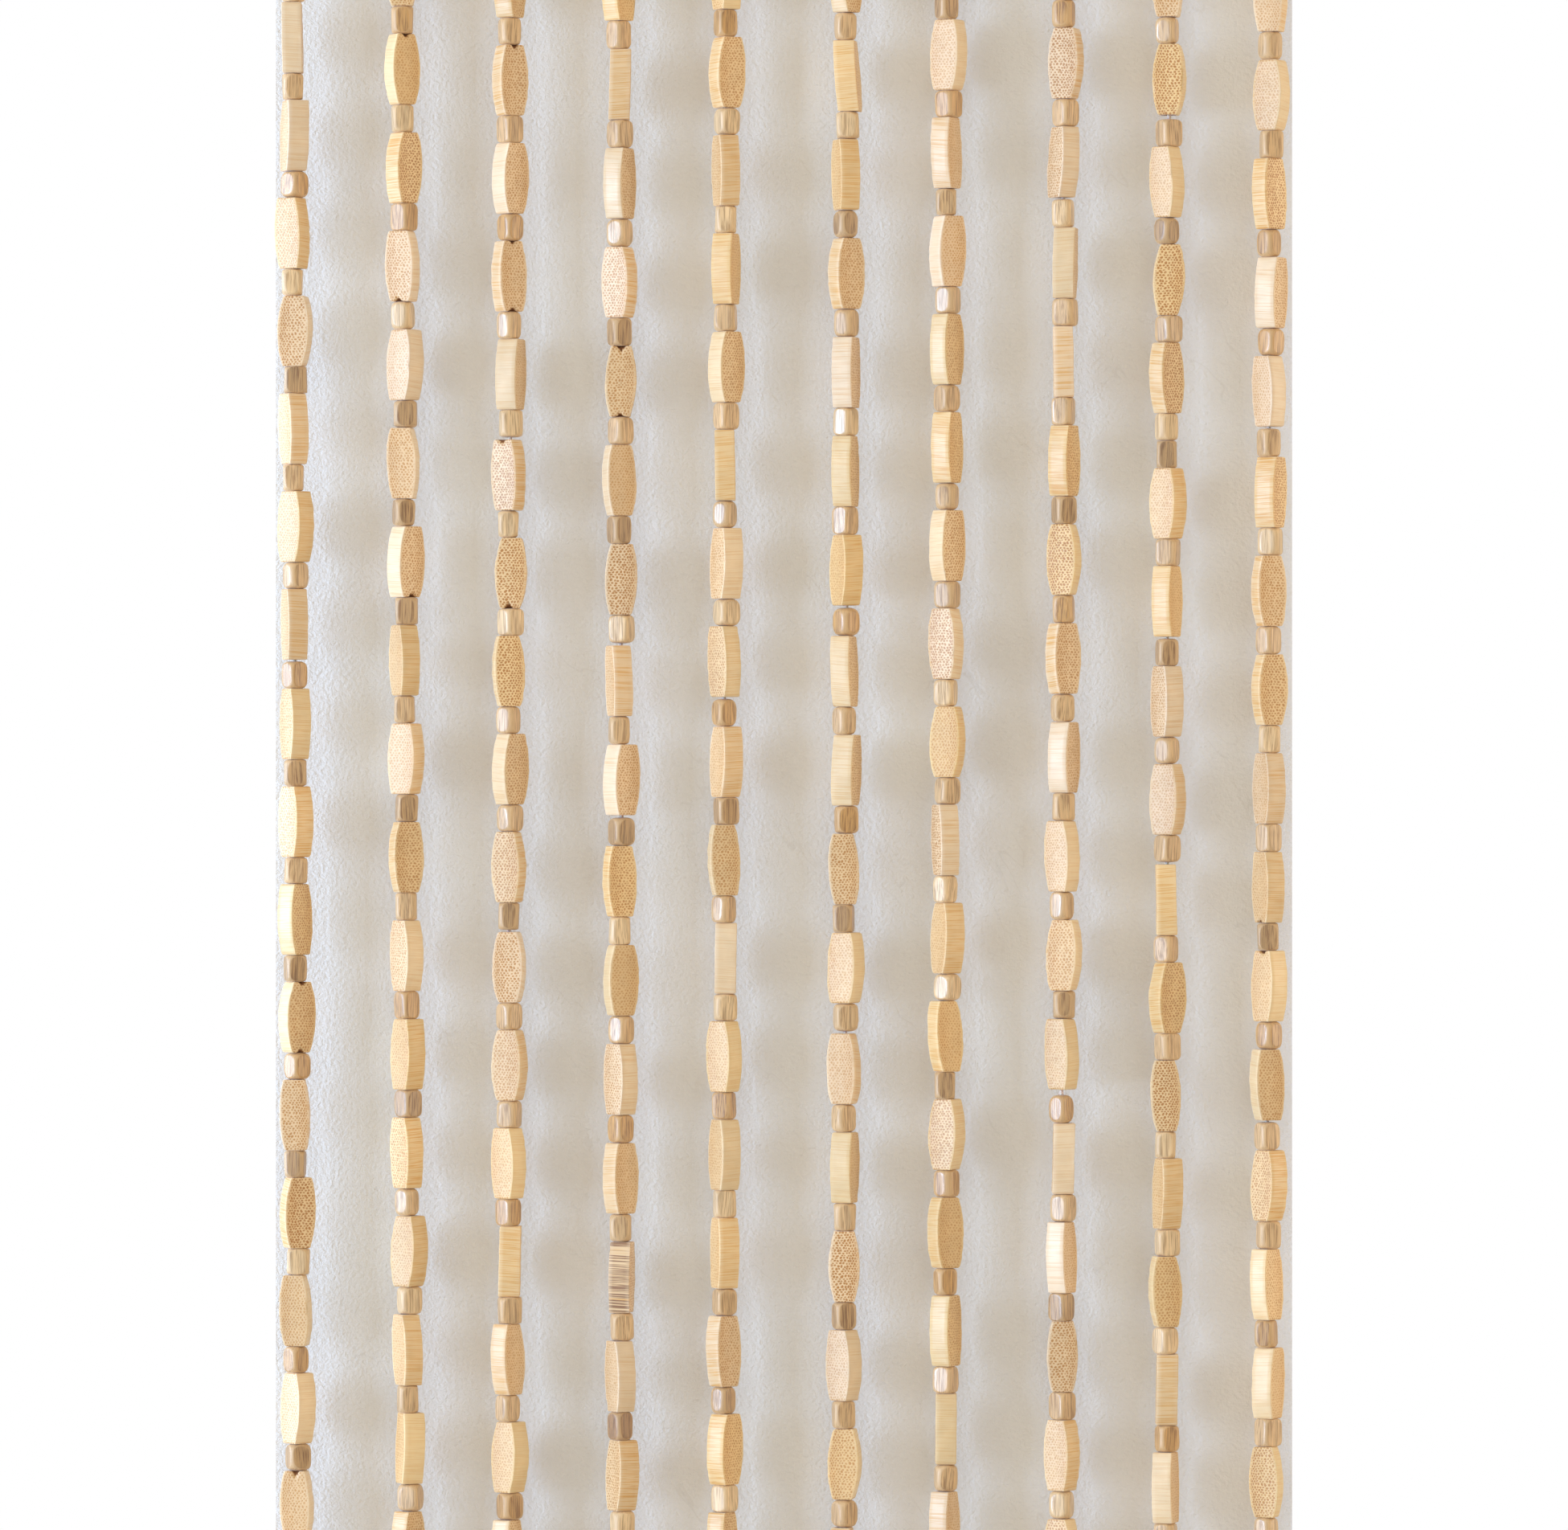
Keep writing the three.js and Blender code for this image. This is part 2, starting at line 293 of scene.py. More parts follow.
class Sheaf:
    """Gathers many closed grids into one mesh, with named point attributes and a flat map in even cells."""

    def __init__(self, columns, rows):
        self.columns = columns
        self.rows = rows
        self.points = []
        self.faces = []
        self.map = []
        self.values = {}
        self.count = 0
        self.cell = 0

    def add(self, grid, outward=True, **values):
        """grid has a row of points for each ring; each value has one number or vector for each point."""
        rings, sides = grid.shape[:2]
        ring_steps = np.linalg.norm(np.roll(grid, -1, axis=0) - grid, axis=-1)
        side_steps = np.linalg.norm(np.roll(grid, -1, axis=1) - grid, axis=-1)
        sheet = grid_map(ring_steps.mean(axis=1), side_steps.mean(axis=0), outward)
        corner = np.array([self.cell % self.columns, self.cell // self.columns])
        inside = BAKE_MARGIN / 2 + (1 - BAKE_MARGIN) * sheet
        self.map.append((corner + inside) / np.array([self.columns, self.rows]))
        self.faces.append(closed_grid(rings, sides, outward) + self.count)
        self.points.append(grid.reshape(-1, 3))
        for name, value in values.items():
            full = np.broadcast_to(value, (rings, sides, 3))
            self.values.setdefault(name, []).append(full.reshape(-1, 3))
        self.count += rings * sides
        self.cell += 1

    def build(self, name, material):
        points = np.concatenate(self.points) * MM
        faces = np.concatenate(self.faces)
        mesh = bpy.data.meshes.new(name)
        mesh.vertices.add(len(points))
        mesh.vertices.foreach_set("co", points.astype(np.float32).ravel())
        mesh.loops.add(faces.size)
        mesh.loops.foreach_set("vertex_index", faces.astype(np.int32).ravel())
        mesh.polygons.add(len(faces))
        mesh.polygons.foreach_set("loop_start", np.arange(0, faces.size, 4, dtype=np.int32))
        mesh.polygons.foreach_set("use_smooth", np.ones(len(faces), dtype=bool))
        mesh.update(calc_edges=True)
        layer = mesh.uv_layers.new(name=BAKE_MAP)
        layer.uv.foreach_set("vector", np.concatenate(self.map).astype(np.float32).ravel())
        for label, parts in self.values.items():
            attribute = mesh.attributes.new(label, "FLOAT_VECTOR", "POINT")
            attribute.data.foreach_set("vector", np.concatenate(parts).astype(np.float32).ravel())
        mesh.materials.append(material)
        mesh.validate()
        piece = bpy.data.objects.new(name, mesh)
        bpy.context.scene.collection.objects.link(piece)
        return piece


def ripple(random, u, v, w, waves, longest, shortest):
    """A smooth random swell through space, about -1 to 1, from a few waves of unlike lengths."""
    total = np.zeros_like(u)
    for _ in range(waves):
        heading = random.normal(size=3)
        heading /= np.linalg.norm(heading)
        length = random.uniform(shortest, longest)
        phase = random.uniform(0, 2 * math.pi)
        total += np.sin((u * heading[0] + v * heading[1] + w * heading[2]) * 2 * math.pi / length + phase)
    return total / math.sqrt(waves)


def placed(bead, u, v, w):
    """Points given along a bead's width, depth and thread, turned and moved to where the bead hangs."""
    turn = math.radians(bead.turn)
    x = bead.x + u * math.cos(turn) - v * math.sin(turn) + w * math.tan(math.radians(bead.tilt))
    y = bead.y + u * math.sin(turn) + v * math.cos(turn)
    z = bead.top - bead.length / 2 + w
    return np.stack([x, y, z], axis=-1)


def half_length_of(bead):
    return bead.length / 2 + JOINT_SQUEEZE


def seed_of(bead):
    """A whole number for one bead, for its own random draws."""
    return 1000 * (bead.strand + 1) + 10 * (bead.pair + 2) + bead.copy + (5 if bead.kind == "small" else 0)


# ---------------------------------------------------------------------------
# Long beads: barrel-shaped slips of bamboo, drilled from end to end
# ---------------------------------------------------------------------------

LONG_BEVEL = 0.18
LONG_END_ROUND = 0.42
LONG_HOLE = 0.8
LONG_STATIONS = 20
FACE_STEPS = (0.05, 0.15, 0.26, 0.4, 0.6, 0.84)
SIDE_STEPS = (0.2, 0.6)
CORNER_STEPS = 3
END_STEPS = 4
BARREL_POWER = 2.15
END_CROWDING = 0.35
HAND_CUT = 0.09
FLAT_HOLLOW = 0.05

# How the long beads differ among themselves: shares of a size, or millimetres and powers either way.
BEVEL_SHARES = (0.75, 1.3)
END_ROUND_SHARES = (0.7, 1.25)
END_WIDTH_SPREAD = 0.35
BARREL_POWER_SPREAD = 0.25
BOLDNESS_SPREAD = 0.12

# The hand cut's long swell, and the short nibble that is strongest on the bevels.
SWELL_WAVES = dict(waves=4, longest=26, shortest=9)
NIBBLE_WAVES = dict(waves=5, longest=4.5, shortest=1.6)
NIBBLE_SHARE = 0.9
NIBBLE_ON_FLATS = 0.3
DEPTH_SHARE = 0.6

NOTCH_HALF_WIDTH = 1.1
NOTCH_DEEPEST = 1.9
NOTCH_CRISPNESS = 2.6
NOTCH_IN_SHARE = 0.8
NOTCH_DOWN = 0.25
NOTCH_LEAN = 0.4
NOTCH_TAPER = 0.25
NOTCH_WIDTH_SHARES = (0.8, 1.15)

# How far an end face is as rough and dark as a break, which is painted shade in the joint between two beads,
# and how soon an end's rounding counts as an edge.
END_FACE_SHADE = 0.9
END_EDGE_GAIN = 1.4

# Long beads whose drilled hole broke out through the broad face to the front, at the top or bottom, and how
# far down the break goes.
NOTCHES = {
    (0, 12): dict(top=1.2, bottom=1.3),
    (0, 17): dict(top=1.6),
    (1, 2): dict(top=1.2),
    (1, 4): dict(bottom=0.9),
    (1, 7): dict(bottom=1.2),
    (2, 2): dict(top=1.5),
    (2, 4): dict(top=1.0, bottom=1.2),
    (2, 6): dict(top=1.2),
    (2, 7): dict(bottom=1.6),
    (3, 5): dict(top=1.7, bottom=0.8),
    (9, 10): dict(bottom=1.0),
    (9, 11): dict(top=1.1),
}
STRAY_NOTCH = 0.05
STRAY_DEPTHS = (0.6, 1.3)
GRAIN_SIZES = {"f": 0.0, "m": 0.5, "b": 1.0}


def long_section():
    """The bead's section from the front face on: shares of its flats, unit steps out, and 1 on a bevel."""
    flats = sorted([-s for s in FACE_STEPS] + list(FACE_STEPS))
    sides = sorted([-s for s in SIDE_STEPS] + list(SIDE_STEPS))
    rows = []
    quarter = math.pi / 2
    walls = [(0, -1, flats), (1, 0, sides), (0, 1, flats), (-1, 0, sides)]
    for out_u, out_v, steps in walls:
        along_u, along_v = -out_v, out_u
        for step in steps:
            rows.append((out_u + along_u * step, out_v + along_v * step, out_u, out_v, 0))
        for corner in range(CORNER_STEPS):
            angle = math.atan2(out_v, out_u) + quarter * corner / (CORNER_STEPS - 1)
            flat_u = out_u + along_u
            flat_v = out_v + along_v
            rows.append((flat_u, flat_v, math.cos(angle), math.sin(angle), 1))
    return [np.array(column) for column in zip(*rows)]


def long_rings():
    """Each ring's place along the bead (-1 to 1 between the end bevels), its end step and its inset share."""
    even = np.linspace(-1, 1, LONG_STATIONS)
    spread = np.sin(even * math.pi / 2) * END_CROWDING + even * (1 - END_CROWDING)
    ends = np.linspace(math.pi / 2, 0, END_STEPS)[:-1]
    top = [(1, math.sin(a), 1 - math.cos(a)) for a in ends]
    body = [(s, 0, 0) for s in spread[::-1]]
    bottom = [(-1, -math.sin(a), 1 - math.cos(a)) for a in ends[::-1]]
    return [np.array(column)[:, None] for column in zip(*(top + body + bottom))]


SECTION_FLAT_U, SECTION_FLAT_V, SECTION_OUT_U, SECTION_OUT_V, SECTION_CORNER = long_section()
SECTION_BROAD = np.where(SECTION_CORNER < 1, np.abs(SECTION_OUT_V), 0)
RING_ALONG, RING_END, RING_INSET = long_rings()


def notches_of(bead, random):
    """The breaks of one long bead: which face, which end and how deep."""
    to_front = -1 if bead.turn <= QUARTER_TURN else 1
    found = []
    for end, sign in (("top", 1), ("bottom", -1)):
        depth = NOTCHES.get((bead.strand, bead.pair), {}).get(end, 0)
        if depth:
            found.append((to_front, sign, depth))
        stray = random.uniform() < STRAY_NOTCH
        stray_depth = random.uniform(*STRAY_DEPTHS)
        if stray:
            found.append((-to_front, sign, stray_depth))
    return found


def long_walls(bead, random):
    """The outside of one long bead: its u, v and w ring by ring, and each ring's half width."""
    bevel = LONG_BEVEL * random.uniform(*BEVEL_SHARES)
    end_round = LONG_END_ROUND * random.uniform(*END_ROUND_SHARES)
    end_width = LONG_END_WIDTH + random.uniform(-END_WIDTH_SPREAD, END_WIDTH_SPREAD)
    power = BARREL_POWER + random.uniform(-BARREL_POWER_SPREAD, BARREL_POWER_SPREAD)
    half_length = half_length_of(bead)
    w = RING_ALONG * (half_length - end_round) + RING_END * end_round
    barrel = 1 - np.abs(w / half_length) ** power
    half_width = (end_width + (bead.width - end_width) * barrel) / 2
    inset = RING_INSET * end_round
    u = SECTION_FLAT_U * (half_width - bevel - inset) + SECTION_OUT_U * bevel
    v = SECTION_FLAT_V * (bead.depth / 2 - bevel - inset) + SECTION_OUT_V * bevel
    w = np.broadcast_to(w, u.shape).copy()

    swell = ripple(random, u, v, w, **SWELL_WAVES)
    nibble = ripple(random, u, v, w, **NIBBLE_WAVES)
    on_corners = NIBBLE_ON_FLATS + (1 - NIBBLE_ON_FLATS) * SECTION_CORNER
    shift = HAND_CUT * swell + NIBBLE_SHARE * HAND_CUT * nibble * on_corners
    hollow = FLAT_HOLLOW * random.uniform(-1, 1) * (1 - (u / half_width) ** 2)
    u += shift * SECTION_OUT_U
    v += (DEPTH_SHARE * shift + hollow * SECTION_BROAD) * SECTION_OUT_V
    return u, v, w, half_width


def break_notches(bead, random, u, v, w):
    """Move the points of u, v and w where the bead is broken, and give how far each one is."""
    chip_and_shade = np.zeros_like(u)
    for face, end, depth in notches_of(bead, random):
        below = half_length_of(bead) - end * w
        lean = random.uniform(-NOTCH_LEAN, NOTCH_LEAN)
        reach = NOTCH_HALF_WIDTH * random.uniform(*NOTCH_WIDTH_SHARES)
        taper = 1 - NOTCH_TAPER + NOTCH_TAPER * below / depth
        mouth = 1 - below / depth - np.abs(u - lean) / reach * taper
        cut = np.clip(mouth * NOTCH_CRISPNESS, 0, 1) * (v * face > 0)
        v -= face * cut * NOTCH_DEEPEST * NOTCH_IN_SHARE
        w -= end * cut * NOTCH_DOWN
        chip_and_shade = np.maximum(chip_and_shade, cut)
    return chip_and_shade


def with_ends(walls, middle_top, middle_foot, rim_top, rim_foot):
    """One value of a long bead from the top down: hole rim, end face, walls, end face and hole rim."""
    row = np.ones((1, walls.shape[1]))
    return np.vstack([rim_top * row, middle_top * row, walls, middle_foot * row, rim_foot * row])


def add_long_bead(sheaf, bead):
    random = np.random.default_rng(seed_of(bead))
    u, v, w, half_width = long_walls(bead, random)
    chip_and_shade = break_notches(bead, random, u, v, w)

    # The end faces go in to the rim of the hole, and the hole joins its two rims.
    toward = np.arctan2(v[0], u[0])
    rim_u = LONG_HOLE * np.cos(toward)
    rim_v = LONG_HOLE * np.sin(toward)
    end_w = half_length_of(bead)
    u = with_ends(u, (u[0] + rim_u) / 2, (u[-1] + rim_u) / 2, rim_u, rim_u)
    v = with_ends(v, (v[0] + rim_v) / 2, (v[-1] + rim_v) / 2, rim_v, rim_v)
    w = with_ends(w, (w[0] + end_w) / 2, (w[-1] - end_w) / 2, end_w, -end_w)
    # The end faces and the hole take the breaks' dark colour: painted shade in the joints between beads and
    # inside the hole.
    chip_and_shade = with_ends(chip_and_shade, END_FACE_SHADE, END_FACE_SHADE, 1, 1)
    broad = with_ends(SECTION_BROAD * np.ones_like(RING_INSET), 0, 0, 0, 0)
    edge = with_ends(np.maximum(SECTION_CORNER, np.clip(RING_INSET * END_EDGE_GAIN, 0, 1)), 0, 0, 0, 0)

    letter = STRINGS[bead.strand].grain[bead.pair]
    boldness = GRAIN_SIZES[letter.lower()] + random.uniform(-BOLDNESS_SPREAD, BOLDNESS_SPREAD)
    to_outer = -1 if letter.isupper() else 1
    outer = 0.5 + 0.5 * to_outer * (u / half_width.max())
    streaked = (bead.strand, bead.pair) in STREAKED
    sheaf.add(
        placed(bead, u, v, w),
        place=np.stack([u, v, w], axis=-1),
        chance=random.uniform(0, 1, 3),
        cut=np.stack([outer, np.full_like(u, boldness), chip_and_shade], axis=-1),
        skin=np.stack([broad, edge, np.full_like(u, streaked)], axis=-1),
    )


# ---------------------------------------------------------------------------
# Small beads: tumbled blocks with oval flats, drilled from end to end
# ---------------------------------------------------------------------------

SMALL_SIDES = 44
SMALL_RINGS = 20
SMALL_HOLE = 0.8
SMALL_ROUND = 1.235
SMALL_ROUND_SPREAD = 0.055
SMALL_POWER = 3.9
SMALL_POWER_SPREAD = (-0.8, 1.2)
SMALL_MOUTH_SHARE = 0.94
SMALL_DENT = 0.04
SMALL_DENT_SHARES = (0.4, 1.6)
SMALL_DENT_WAVES = dict(waves=5, longest=7, shortest=1.8)
DENT_OFF_FLATS = 1.2
DENT_ON_FLATS = 0.4
SMALL_FLAT_SLOPE = 0.05
SMALL_FLAT_SHIFT = 0.045
FLAT_CRISPNESS = 18.0
FLAT_EDGE_CRISPNESS = 5.0
# How dark the outer ring of a short bead's end face is painted: painted shade in the joint between beads.
SMALL_END_SHADE = 0.8
WOOD_SPREAD = 0.1
PLAIN_POLISH = 0.5

WOODS = {"c": 0.0, "t": 0.33, "b": 0.67, "g": 1.0, "r": 1.4}


def small_walls(bead, random):
    """The outside of one short bead: its u, v and w ring by ring, and 1 where it is flat."""
    half_side = bead.width / 2
    half_length = half_length_of(bead)
    round_radius = half_side * (SMALL_ROUND + SMALL_ROUND_SPREAD * random.uniform(-1, 1))
    power = SMALL_POWER + random.uniform(*SMALL_POWER_SPREAD)
    angle = np.linspace(0, 2 * math.pi, SMALL_SIDES, endpoint=False)[None, :]
    rise = np.linspace(1, -1, SMALL_RINGS)[:, None] * math.pi / 2 * SMALL_MOUTH_SHARE
    w = half_length * np.sign(rise) * np.abs(np.sin(rise)) ** (2 / power) + 0 * angle
    barrel = round_radius * np.abs(np.cos(rise)) ** (2 / power)

    # Four flats, each a little off its place and slope, cut the barrel where it stands out past them.
    toward_flat = (angle + math.pi / 4) % (math.pi / 2) - math.pi / 4
    which = np.round(angle / (math.pi / 2)).astype(int) % 4
    slope = random.uniform(-SMALL_FLAT_SLOPE, SMALL_FLAT_SLOPE, 4)
    skew = random.uniform(-SMALL_FLAT_SLOPE, SMALL_FLAT_SLOPE, 4)
    shift = random.uniform(-SMALL_FLAT_SHIFT, SMALL_FLAT_SHIFT, 4)
    plane = (half_side * (1 + shift[which]) + w * slope[which]) / np.cos(toward_flat - skew[which])
    radius = -np.log(np.exp(-FLAT_CRISPNESS * plane) + np.exp(-FLAT_CRISPNESS * barrel)) / FLAT_CRISPNESS
    flat = 0.5 + 0.5 * np.tanh((barrel - plane) * FLAT_EDGE_CRISPNESS)
    u = radius * np.cos(angle)
    v = radius * np.sin(angle)
    dent = SMALL_DENT * random.uniform(*SMALL_DENT_SHARES) * ripple(random, u, v, w, **SMALL_DENT_WAVES)
    dent *= DENT_OFF_FLATS - (DENT_OFF_FLATS - DENT_ON_FLATS) * flat
    return u + dent * np.cos(angle), v + dent * np.sin(angle), w, flat


def add_small_bead(sheaf, bead):
    random = np.random.default_rng(seed_of(bead))
    u, v, w, flat = small_walls(bead, random)
    angle = np.linspace(0, 2 * math.pi, SMALL_SIDES, endpoint=False)[None, :]
    rim_u = SMALL_HOLE * np.cos(angle)
    rim_v = SMALL_HOLE * np.sin(angle)
    none = np.zeros_like(angle)
    level = none + half_length_of(bead)
    # The end faces and the hole are painted dark: painted shade in the joints between beads and inside the
    # hole.
    end_shade = np.zeros_like(flat)
    end_shade[[0, -1]] = SMALL_END_SHADE
    u = np.vstack([rim_u, u, rim_u])
    v = np.vstack([rim_v, v, rim_v])
    w = np.vstack([level, w, -level])
    flat = np.vstack([none, flat, none])
    hole_and_end_shade = np.vstack([none + 1, end_shade, none + 1])
    letter = SMALL_WOODS[bead.strand][bead.place]
    wood = np.full_like(u, WOODS[letter.lower()] + random.uniform(-WOOD_SPREAD, WOOD_SPREAD))
    polish = np.full_like(u, 1 if letter.isupper() else random.uniform(0, PLAIN_POLISH))
    sheaf.add(
        placed(bead, u, v, w),
        place=np.stack([u, v, w], axis=-1),
        chance=random.uniform(0, 1, 3),
        cut=np.stack([flat, wood, hole_and_end_shade], axis=-1),
        skin=np.stack([polish, 0 * u, 0 * u], axis=-1),
    )


# ---------------------------------------------------------------------------
# Threads
# ---------------------------------------------------------------------------

THREAD_WIDTH = 1.2
THREAD_SIDES = 8
THREAD_TIP_SHARE = 0.05
KNOT_STEPS = 48

# A direction that no thread runs along, from which a tube's sides are turned.
ASIDE = (0.31, 0.87, 0.12)


def tube(path, radius):
    """A tube round a path, as rings of points, closed to a point-like ring at both tips."""
    path = np.asarray(path, dtype=float)
    ahead = np.gradient(path, axis=0)
    ahead /= np.linalg.norm(ahead, axis=1)[:, None]
    side = np.cross(ahead, ASIDE)
    side /= np.linalg.norm(side, axis=1)[:, None]
    front = np.cross(side, ahead)
    angle = np.linspace(0, 2 * math.pi, THREAD_SIDES, endpoint=False)
    spoke = side[:, None] * np.cos(angle)[None, :, None] + front[:, None] * np.sin(angle)[None, :, None]
    rings = path[:, None] + spoke * radius
    first = path[:1, None] + spoke[:1] * radius * THREAD_TIP_SHARE
    last = path[-1:, None] + spoke[-1:] * radius * THREAD_TIP_SHARE
    return np.concatenate([first, rings, last])


def knot(centre):
    """A trefoil knot in the thread, KNOT_WIDTH wide and KNOT_LENGTH long."""
    turn = np.linspace(0, 2 * math.pi, KNOT_STEPS + 1)
    radius = (KNOT_WIDTH - THREAD_WIDTH) / 2
    loop_x = radius * (np.sin(turn) + 2 * np.sin(2 * turn)) / 3
    loop_y = radius * (np.cos(turn) - 2 * np.cos(2 * turn)) / 3
    loop_z = (KNOT_LENGTH - THREAD_WIDTH) / 2 * -np.sin(3 * turn)
    return tube(np.stack([loop_x, loop_y, loop_z], axis=-1) + np.array(centre), THREAD_WIDTH / 2)


def add_thread(sheaf, strand):
    beads = beads_of(strand)
    first = beads[0]
    last = beads[-1]
    start = -HEADING_HEIGHT + SLOT_HEIGHT / 2
    end = last.top - last.length - SEAM / 2
    stops = [(first.x, 0, start), (first.x, first.y * 0.5, first.top)]
    stops += [(b.x, b.y, b.top - b.length / 2) for b in beads]
    stops.append((last.x, last.y, end))
    sheaf.add(tube(stops, THREAD_WIDTH / 2), place=(0, 0, 0))
    sheaf.add(knot((last.x, last.y, end - KNOT_LENGTH / 2)), place=(0, 0, 0))


# ---------------------------------------------------------------------------
# Heading and the strip in its slot
# ---------------------------------------------------------------------------

BAR_EASE = 0.6
BAR_END_SHARES = (0.02, 0.9, 0.97)
BAR_WAVES = dict(waves=6, longest=90, shortest=20)
BAR_ACROSS = 6
CORNER_ROUND_STEPS = 4

HEADING_STATIONS = 60
HEADING_WEAR = 0.05
HEADING_SEED = 7
RAIL_STATIONS = 40
RAIL_SHORTER = 1


def bar(outline, half_length, stations, random, wear):
    """A bar along X with the given (y, z) outline, its ends eased and closed, worn a little in and out."""
    centre = outline.mean(axis=0)
    rings = [(-half_length, share) for share in BAR_END_SHARES]
    rings += [(x, 1) for x in np.linspace(-half_length + BAR_EASE, half_length - BAR_EASE, stations)]
    rings += [(half_length, share) for share in reversed(BAR_END_SHARES)]
    grid = np.array([[(x, *(centre + (p - centre) * share)) for p in outline] for x, share in rings])
    swell = ripple(random, grid[..., 0], grid[..., 1] * BAR_ACROSS, grid[..., 2] * BAR_ACROSS, **BAR_WAVES)
    grid[..., 1] += wear * swell * (np.abs(grid[..., 0]) < half_length)
    return grid


def heading_outline():
    half = HEADING_DEPTH / 2
    ease = HEADING_CHAMFER
    slot = SLOT_WIDTH / 2
    roof = -HEADING_HEIGHT + SLOT_HEIGHT
    points = [(-slot, -HEADING_HEIGHT), (-slot, roof), (slot, roof), (slot, -HEADING_HEIGHT)]
    corners = [(half, -HEADING_HEIGHT, -90), (half, 0, 0), (-half, 0, 90), (-half, -HEADING_HEIGHT, 180)]
    for y, z, start in corners:
        centre_y = y - math.copysign(ease, y)
        centre_z = z - ease if z == 0 else z + ease
        for step in range(CORNER_ROUND_STEPS + 1):
            angle = math.radians(start + 90 * step / CORNER_ROUND_STEPS)
            points.append((centre_y + ease * math.cos(angle), centre_z + ease * math.sin(angle)))
    return np.array(points)


# ---------------------------------------------------------------------------
# Materials
# ---------------------------------------------------------------------------


class Nodes:
    """A new material, with short calls for the nodes that its tree needs."""

    def __init__(self, name):
        self.material = bpy.data.materials.new(name)
        self.material.use_nodes = True
        self.tree = self.material.node_tree
        self.shader = next(n for n in self.tree.nodes if n.type == "BSDF_PRINCIPLED")

    def put(self, socket, value):
        if isinstance(value, bpy.types.NodeSocket):
            self.tree.links.new(value, socket)
        elif value is not None:
            socket.default_value = value

    def shade(self, inputs):
        """Set the shader's inputs, each to a number or to what a node gives."""
        for name, value in inputs.items():
            self.put(self.shader.inputs[name], value)

    def node(self, kind, inputs, **settings):
        made = self.tree.nodes.new(kind)
        for key, value in settings.items():
            setattr(made, key, value)
        for key, value in inputs.items():
            self.put(made.inputs[key], value)
        return made

    def math(self, operation, a, b=None, clamp=False):
        return self.node("ShaderNodeMath", {0: a, 1: b}, operation=operation, use_clamp=clamp).outputs[0]

    def plus(self, a, b, clamp=False):
        return self.math("ADD", a, b, clamp)

    def minus(self, a, b):
        return self.math("SUBTRACT", a, b)

    def times(self, a, b, clamp=False):
        return self.math("MULTIPLY", a, b, clamp)

    def line(self, value, low, high):
        """value from 0 to 1, turned evenly into low to high."""
        return self.plus(self.times(value, high - low), low)

    def step(self, value, low, high, to_low=0.0, to_high=1.0):
        """value from low to high, turned smoothly into to_low to to_high."""
        made = self.node(
            "ShaderNodeMapRange",
            {"Value": value, "From Min": low, "From Max": high, "To Min": to_low, "To Max": to_high},
            interpolation_type="SMOOTHSTEP",
        )
        return made.outputs["Result"]

    def attribute(self, name):
        return self.node("ShaderNodeAttribute", {}, attribute_name=name).outputs["Vector"]

    def object_place(self):
        return self.node("ShaderNodeTexCoord", {}).outputs["Object"]

    def parts(self, vector):
        return self.node("ShaderNodeSeparateXYZ", {0: vector}).outputs[:]

    def join(self, x, y, z):
        return self.node("ShaderNodeCombineXYZ", {0: x, 1: y, 2: z}).outputs[0]

    def mix(self, share, a, b, blend="MIX"):
        """Colour a where share is 0 and b where it is 1."""
        made = self.tree.nodes.new("ShaderNodeMix")
        made.data_type = "RGBA"
        made.blend_type = blend
        for index, value in ((0, share), (6, a), (7, b)):
            if isinstance(value, tuple):
                value = (*value, 1)
            self.put(made.inputs[index], value)
        return made.outputs[2]

    def tint(self, colour, by):
        return self.mix(1.0, colour, by, "MULTIPLY")

    def lighten(self, colour, light):
        return self.tint(colour, self.join(light, light, light))

    def noise(self, vector, scale, detail=2.0, rough=0.5):
        inputs = {"Vector": vector, "Scale": scale, "Detail": detail, "Roughness": rough}
        return self.node("ShaderNodeTexNoise", inputs).outputs["Fac"]

    def bump(self, height, distance):
        inputs = {"Height": height, "Distance": distance, "Strength": 1.0}
        return self.node("ShaderNodeBump", inputs).outputs[0]

    def dots(self, across, along, radius):
        """Soft dots in staggered rows, each a little off its place: the dot, and its own chance."""
        row_place = self.math("DIVIDE", along, DOT_SPACING * DOT_ROW)
        row = self.math("FLOOR", row_place)
        stagger = self.times(self.math("FLOORED_MODULO", row, 2.0), 0.5)
        place = self.plus(self.math("DIVIDE", across, DOT_SPACING), stagger)
        column = self.math("FLOOR", place)
        chance = self.node("ShaderNodeTexWhiteNoise", {0: self.join(column, row, DOT_SEED)}).outputs["Color"]
        one, two, three = self.parts(chance)
        off_x = self.minus(self.minus(place, column), self.line(one, *DOT_PLACE_ACROSS))
        off_y = self.minus(self.minus(row_place, row), self.line(two, *DOT_PLACE_ALONG))
        off_y = self.times(off_y, DOT_ROW * DOT_FLATTENED)
        distance = self.math("SQRT", self.plus(self.times(off_x, off_x), self.times(off_y, off_y)))
        reach = self.times(radius, self.line(three, *DOT_SIZES))
        dot = self.step(distance, self.times(reach, DOT_CORE), self.times(reach, DOT_RIM), 1.0, 0.0)
        return dot, three


# The dots of a long bead's broad face, each a fibre bundle of the bamboo cut across. DOT_SPACING is in
# millimetres, DOT_ROW is the rows' spacing as a share of it, and the radii and places are shares of it too.
DOT_SPACING = 1.25
DOT_ROW = 0.6
DOT_RADIUS = (0.32, 0.37)
DOT_SIZES = (0.85, 1.1)
DOT_PLACE_ACROSS = (0.34, 0.66)
DOT_PLACE_ALONG = (0.36, 0.64)
DOT_FLATTENED = 1.4
DOT_CORE = 0.62
DOT_RIM = 1.18
DOT_SEED = 3.0

